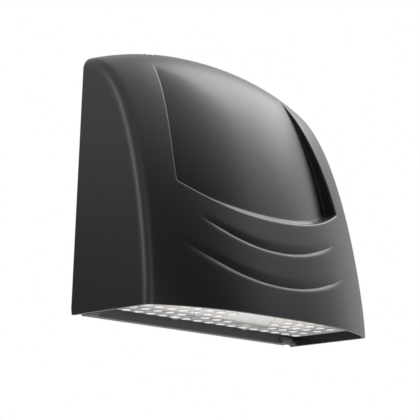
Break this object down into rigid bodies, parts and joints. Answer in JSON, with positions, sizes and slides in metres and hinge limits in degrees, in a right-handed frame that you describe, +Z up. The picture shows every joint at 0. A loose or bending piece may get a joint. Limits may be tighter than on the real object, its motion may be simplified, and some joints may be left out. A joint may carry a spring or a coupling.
{
  "type": "wall pack light",
  "caption": "Wedge-shaped outdoor wall light: a cast hood with a recessed front panel and a downward lens over a board of lights, hinged at the foot of a back plate.",
  "frame": {"origin": "centre of the wall fixing pattern, in the plane of the wall", "axes": "+X along the width, +Y into the wall, +Z up"},
  "size_m": [0.256, 0.109, 0.226],
  "materials": {
    "cast_hood": "satin black powder coat",
    "cast_plate": "satin black powder coat",
    "bare_aluminium": "as cast",
    "seal_rubber": "matte silicone",
    "zinc_steel": "zinc plated",
    "board_white": "white solder mask",
    "phosphor": "yellow phosphor",
    "clear_lens": "clear moulded optic",
    "gear_case": "off-white",
    "surge_black": "moulded",
    "terminal_grey": "moulded",
    "connector_white": "moulded nylon",
    "lead_sleeve": "lead insulation",
    "brass_screw": "plain",
    "green_screw": "green passivated"
  },
  "bodies": {
    "wall_side": {"back_plate": "cast_plate", "wall_gasket": "seal_rubber", "housing_gasket": "seal_rubber", "hinge_pins": "zinc_steel", "wire_grommet": "seal_rubber", "ground_screw": "green_screw", "terminal_block": "terminal_grey", "terminal_screws": "brass_screw", "quick_socket": "connector_white", "plate_leads": "lead_sleeve"},
    "hood": {"front_housing": "cast_hood", "heat_sink_tray": "bare_aluminium", "tray_screws": "zinc_steel", "led_board": "board_white", "led_chips": "phosphor", "lens_plate": "clear_lens", "lens_gasket": "seal_rubber", "lens_screws": "zinc_steel", "driver": "gear_case", "driver_screws": "zinc_steel", "surge_protector": "surge_black", "led_leads": "lead_sleeve", "quick_plug": "connector_white", "supply_leads": "lead_sleeve", "screw_seals": "seal_rubber"},
    "left_screw": {"closing_screw_left": "zinc_steel"},
    "right_screw": {"closing_screw_right": "zinc_steel"}
  },
  "joints": [
    {"name": "hood_hinge", "type": "hinge", "parent": "wall_side", "child": "hood", "pos_m": [0, -0.007, -0.1058], "axis": [1, 0, 0], "range_deg": [0, 90]},
    {"name": "left_screw_travel", "type": "slide", "parent": "hood", "child": "left_screw", "axis": [0, 0, 1], "range_m": [0, 0.012]},
    {"name": "right_screw_travel", "type": "slide", "parent": "hood", "child": "right_screw", "axis": [0, 0, 1], "range_m": [0, 0.012]}
  ]
}
